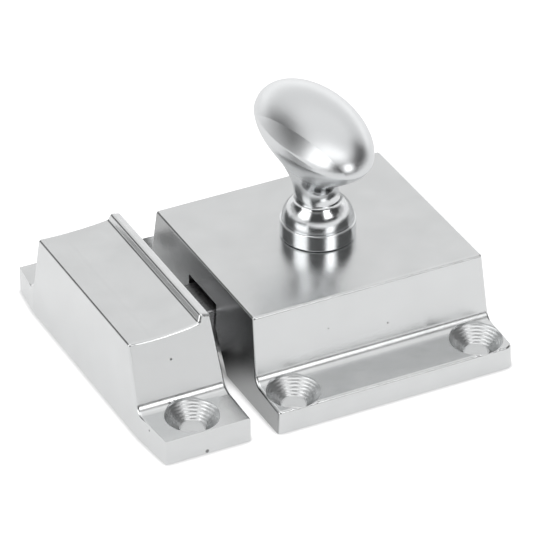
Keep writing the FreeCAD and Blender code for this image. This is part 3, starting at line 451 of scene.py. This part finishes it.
class MechanismLooks(bpy.types.PropertyGroup):
    bolt: FloatVectorProperty(
        name="Bolt chrome", description="Colour of the bolt's worn chrome", subtype="COLOR",
        size=3, min=0.0, max=1.0, default=(0.56, 0.56, 0.57))
    spring: FloatVectorProperty(
        name="Spring steel", description="Colour of the spring's wire", subtype="COLOR",
        size=3, min=0.0, max=1.0, default=(0.38, 0.38, 0.39))
    plate: FloatVectorProperty(
        name="Plate zinc", description="Colour of the back plate's zinc", subtype="COLOR",
        size=3, min=0.0, max=1.0, default=(0.56, 0.57, 0.56))
    screws: FloatVectorProperty(
        name="Screw zinc", description="Colour of the plate screws' zinc", subtype="COLOR",
        size=3, min=0.0, max=1.0, default=(0.60, 0.57, 0.48))


class StudioLooks(bpy.types.PropertyGroup):
    dim: FloatProperty(
        name="Light between panels", description="Strength of the studio's light where it has no panel",
        default=0.08, min=0.0, max=1.0)


def screw_pattern(mount):
    """Middle of a mount's screws and their offset from it, along X and along Y."""
    dims = mount["dims"]
    return [(middle / MM, dims.get(spacing, 0.0) / 2)
            for middle, spacing in zip(mount["pos_m"], ("spacing_x_mm", "spacing_y_mm"))]


class LATCH_OT_case(bpy.types.Operator):
    """Give the latch case its satin chrome, with tool rings in its countersinks"""
    bl_idname = "latch.case"
    bl_label = "Finish Latch Case"

    def execute(self, context):
        screws = screw_pattern(MOUNTS["case_screws"])
        look = context.scene.latch_looks
        dress("latch_case", satin_metal("case_satin_chrome", look, screws, CASE_PITS, painted_shade_in_gap=True))
        return {"FINISHED"}


class LATCH_OT_keeper(bpy.types.Operator):
    """Give the keeper its satin chrome, tool rings and the small casting pits seen on it"""
    bl_idname = "latch.keeper"
    bl_label = "Finish Keeper"

    def execute(self, context):
        screws = screw_pattern(MOUNTS["keeper_screws"])
        look = context.scene.latch_looks
        dress("keeper", satin_metal("keeper_satin_chrome", look, screws, KEEPER_PITS))
        return {"FINISHED"}


class LATCH_OT_knob(bpy.types.Operator):
    """Give the turn knob its polished foot and satin oval"""
    bl_idname = "latch.knob"
    bl_label = "Finish Turn Knob"

    def execute(self, context):
        dress("turn_knob", knob_metal("knob_chrome", context.scene.latch_looks))
        return {"FINISHED"}


class LATCH_OT_bolt(bpy.types.Operator):
    """Give the bolt its worn chrome, drawn along its slide"""
    bl_idname = "latch.bolt"
    bl_label = "Finish Bolt"

    def execute(self, context):
        worn = Steel(context.scene.mechanism_looks.bolt, 0.3, (0.2, 1.0, 1.0))
        dress("latch_bolt", steel_metal("bolt_chrome", worn))
        return {"FINISHED"}


class LATCH_OT_mechanism(bpy.types.Operator):
    """Give the hidden pieces of the mechanism their steels"""
    bl_idname = "latch.mechanism"
    bl_label = "Finish Mechanism"

    def execute(self, context):
        for node, steel in STEELS.items():
            dress(node, steel_metal(node + "_steel", steel))
        return {"FINISHED"}


def spring_line(length, radius):
    """Points along the coil's wire, closed up at both ends, from its bolt end at 0 to length."""
    steps = int(SPRING_TURNS * STEPS_PER_TURN)
    open_turns = SPRING_TURNS - 2 * CLOSED_TURNS
    open_length = length - SPRING_WIRE - 2 * SPRING_WIRE * CLOSED_TURNS
    points = []
    for step in range(steps + 1):
        turn = SPRING_TURNS * step / steps
        closed = min(turn, CLOSED_TURNS) + max(turn - SPRING_TURNS + CLOSED_TURNS, 0.0)
        opened = min(max(turn - CLOSED_TURNS, 0.0) / open_turns, 1.0)
        angle = 2 * math.pi * turn
        points.append(Vector((SPRING_WIRE / 2 + closed * SPRING_WIRE + opened * open_length,
                              radius * math.cos(angle), radius * math.sin(angle))))
    return points


def wire_mesh(name, points, radius):
    """Round wire along a line of points, with its ends closed."""
    mesh = bpy.data.meshes.new(name)
    shape = bmesh.new()
    angles = [2 * math.pi * side / WIRE_SIDES for side in range(WIRE_SIDES)]
    rings = []
    for before, point, after in zip(points[:1] + points, points, points[1:] + points[-1:]):
        along = (after - before).normalized()
        side = along.cross(Vector((1, 0, 0))).normalized()
        other = along.cross(side)
        rings.append([shape.verts.new(point + radius * (side * math.cos(a) + other * math.sin(a)))
                      for a in angles])
    for first, second in zip(rings, rings[1:]):
        for k in range(WIRE_SIDES):
            shape.faces.new((first[k], first[k - 1], second[k - 1], second[k])).smooth = True
    shape.faces.new(rings[0])
    shape.faces.new(rings[-1][::-1])
    bmesh.ops.recalc_face_normals(shape, faces=shape.faces)
    shape.to_mesh(mesh)
    shape.free()
    return mesh


class LATCH_OT_spring(bpy.types.Operator):
    """Wind the bolt's spring as a coil fixed to the case; the real spring shortens towards the end wall as
    the bolt is drawn back, this one keeps its length
    """
    bl_idname = "latch.spring"
    bl_label = "Wind Spring"

    def execute(self, context):
        low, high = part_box("bolt_spring")
        middle_y, middle_z = (low[1] + high[1]) / 2, (low[2] + high[2]) / 2
        coil = (high[2] - low[2] - SPRING_WIRE) / 2
        length = high[0] - low[0]
        mesh = wire_mesh("compression_coil", spring_line(length, coil), SPRING_WIRE / 2)
        mesh.transform(Matrix.Translation((low[0], middle_y, middle_z)))
        spring = bpy.data.objects.new("compression_coil", mesh)
        context.scene.collection.objects.link(spring)
        mesh.materials.append(steel_metal("coil_steel", Steel(context.scene.mechanism_looks.spring, 0.25)))
        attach(spring, "case")
        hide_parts("bolt_spring")
        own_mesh(spring)
        return {"FINISHED"}


class LATCH_OT_back(bpy.types.Operator):
    """Give the back plate and its screws their zinc"""
    bl_idname = "latch.back"
    bl_label = "Finish Back Plate"

    def execute(self, context):
        look = context.scene.mechanism_looks
        dress("back_plate", steel_metal("plate_zinc", Steel(look.plate, 0.36, (0.15, 1.0, 1.0))))
        dress("back_plate_screws", steel_metal("screw_zinc", Steel(look.screws, 0.3)))
        return {"FINISHED"}


# Stage

def place_camera():
    """The photograph's camera: where it stands, what it looks at and how it is rolled."""
    data = bpy.data.cameras.new("camera")
    camera = bpy.data.objects.new("camera", data)
    bpy.context.scene.collection.objects.link(camera)
    azimuth, elevation, roll = (math.radians(v) for v in (CAMERA_AZIMUTH, CAMERA_ELEVATION, CAMERA_ROLL))
    back = Vector((math.sin(azimuth) * math.cos(elevation), -math.cos(azimuth) * math.cos(elevation),
                   math.sin(elevation)))
    level = Vector((math.cos(azimuth), math.sin(azimuth), 0))
    upright = back.cross(level)
    right = level * math.cos(roll) + upright * math.sin(roll)
    up = upright * math.cos(roll) - level * math.sin(roll)
    where = (Vector(CAMERA_TARGET) + back * CAMERA_DISTANCE) * MM
    axes = Matrix((right, up, back)).transposed().to_4x4()
    camera.matrix_world = Matrix.Translation(where) @ axes
    data.sensor_width = CAMERA_SENSOR
    data.lens = CAMERA_LENS
    data.clip_start, data.clip_end = CAMERA_CLIP
    bpy.context.scene.camera = camera


def panel_light(graph, azimuth, elevation, panel):
    """Light of one studio panel, with soft edges all round."""
    turn = graph.math("WRAP", graph.math("SUBTRACT", azimuth, panel.azimuth), 180.0, -180.0)
    across = graph.remap(graph.math("ABSOLUTE", turn), panel.half_width, panel.half_width + panel.soft,
                         1.0, 0.0)
    rise = graph.math("ABSOLUTE", graph.math("SUBTRACT", elevation, panel.elevation))
    along = graph.remap(rise, panel.half_height, panel.half_height + panel.soft, panel.strength, 0.0)
    return graph.math("MULTIPLY", across, along)


def make_world(dim):
    """Light tent: panels overhead and behind, a box at either side of the camera, dim between them."""
    world = bpy.data.worlds.new("studio")
    bpy.context.scene.world = world
    world.use_nodes = True
    graph = Graph(world.node_tree)
    x, y, z = graph.split(graph.add("ShaderNodeTexCoord").outputs["Generated"])
    azimuth = graph.math("DEGREES", graph.math("ARCTAN2", x, graph.math("MULTIPLY", y, -1.0)))
    elevation = graph.math("DEGREES", graph.math("ARCSINE", z))
    light = dim
    for panel in STUDIO_PANELS.values():
        light = graph.math("ADD", panel_light(graph, azimuth, elevation, panel), light)
    seen = graph.add("ShaderNodeLightPath").outputs["Is Camera Ray"]
    shader = graph.add("ShaderNodeBackground", {"Color": WHITE,
                                                "Strength": graph.math("MAXIMUM", light, seen)})
    graph.add("ShaderNodeOutputWorld", {"Surface": shader.outputs[0]})


def gap_painted_shade(graph):
    """Share of the painted shade on the floor between the keeper and the case."""
    x, y, z = graph.split(position_mm(graph))
    middle = (KEEPER_FACE + CASE_FACE) / 2
    half = (CASE_FACE - KEEPER_FACE) / 2
    across = graph.math("ABSOLUTE", graph.math("SUBTRACT", x, middle))
    along = graph.math("ABSOLUTE", y)
    return graph.math("MULTIPLY", graph.remap(across, half, half + GAP_SOFT, 1.0, 0.0),
                      graph.remap(along, GAP_SHADE_HALF, GAP_SHADE_HALF + GAP_SHADE_FADE, 1.0, 0.0))


def floor_white():
    """Pale floor that reads white, keeps the latch's shadow, and has painted shade in the gap."""
    material, graph = new_material("white_floor")
    painted_shade = gap_painted_shade(graph)
    # Painted shade: darker floor paint in the gap between keeper and case
    diffuse = graph.add("ShaderNodeBsdfDiffuse", {"Color": graph.mix(painted_shade, FLOOR_PAINT, GAP_PAINTED_SHADE)})
    path = graph.add("ShaderNodeLightPath").outputs
    camera_ray = path["Is Camera Ray"]
    seen = graph.math("MAXIMUM", camera_ray,
                      graph.math("MAXIMUM", path["Is Glossy Ray"], path["Is Transmission Ray"]))
    glow = graph.math("MULTIPLY_ADD", camera_ray, CAMERA_GLOW, FLOOR_GLOW)
    # Painted shade: the floor's glow fades out in the gap
    glow = graph.math("MULTIPLY", glow, graph.math("SUBTRACT", 1.0, painted_shade))
    openness = graph.add("ShaderNodeAmbientOcclusion", {"Distance": CONTACT_REACH},
                         samples=CONTACT_SAMPLES).outputs["AO"]
    contact = graph.math("MAXIMUM", graph.remap(openness, *CONTACT_ENDS, CONTACT_SHADE, 1.0),
                         graph.math("SUBTRACT", 1.0, camera_ray))
    glow = graph.math("MULTIPLY", glow, contact)
    emission = graph.add("ShaderNodeEmission", {"Color": WHITE,
                                                "Strength": graph.math("MULTIPLY", seen, glow)})
    both = graph.add("ShaderNodeAddShader", {0: diffuse.outputs[0], 1: emission.outputs[0]})
    graph.add("ShaderNodeOutputMaterial", {"Surface": both.outputs[0]})
    return material


def make_floor():
    """Plain square floor under the latch."""
    corners = [(x * FLOOR_HALF, y * FLOOR_HALF, -FLOOR_DROP)
               for x, y in ((-1, -1), (1, -1), (1, 1), (-1, 1))]
    mesh = bpy.data.meshes.new("floor")
    mesh.from_pydata(corners, [], [(0, 1, 2, 3)])
    floor = bpy.data.objects.new("floor", mesh)
    bpy.context.scene.collection.objects.link(floor)
    mesh.materials.append(floor_white())


class LATCH_OT_stage(bpy.types.Operator):
    """Set the white floor, the studio light and the camera"""
    bl_idname = "latch.stage"
    bl_label = "Set the Stage"

    def execute(self, context):
        make_world(context.scene.studio_looks.dim)
        make_floor()
        place_camera()
        context.scene.view_settings.view_transform = "Standard"
        return {"FINISHED"}


# Add-on

LOOKS = {"latch_looks": LatchLooks, "mechanism_looks": MechanismLooks, "studio_looks": StudioLooks}
STEPS = (LATCH_OT_case, LATCH_OT_keeper, LATCH_OT_knob, LATCH_OT_bolt, LATCH_OT_mechanism,
         LATCH_OT_spring, LATCH_OT_back, LATCH_OT_stage)


class LATCH_PT_panel(bpy.types.Panel):
    """Lists the latch's looks and its finishing steps"""
    bl_idname = "LATCH_PT_panel"
    bl_label = "Cupboard Catch Latch"
    bl_space_type = "VIEW_3D"
    bl_region_type = "UI"
    bl_category = "Latch"

    def draw(self, context):
        for group, kind in LOOKS.items():
            for name in kind.__annotations__:
                self.layout.prop(getattr(context.scene, group), name)
        for step in STEPS:
            self.layout.operator(step.bl_idname)


CLASSES = (*LOOKS.values(), *STEPS, LATCH_PT_panel)


def register():
    for item in CLASSES:
        bpy.utils.register_class(item)
    for group, kind in LOOKS.items():
        setattr(bpy.types.Scene, group, PointerProperty(type=kind))


def unregister():
    for group in LOOKS:
        delattr(bpy.types.Scene, group)
    for item in reversed(CLASSES):
        bpy.utils.unregister_class(item)


def main():
    remove_startup_objects()
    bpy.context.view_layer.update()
    register()
    bpy.ops.latch.case()
    bpy.ops.latch.keeper()
    bpy.ops.latch.knob()
    bpy.ops.latch.bolt()
    bpy.ops.latch.mechanism()
    bpy.ops.latch.spring()
    bpy.ops.latch.back()
    bpy.ops.latch.stage()


if __name__ == "__main__":
    main()
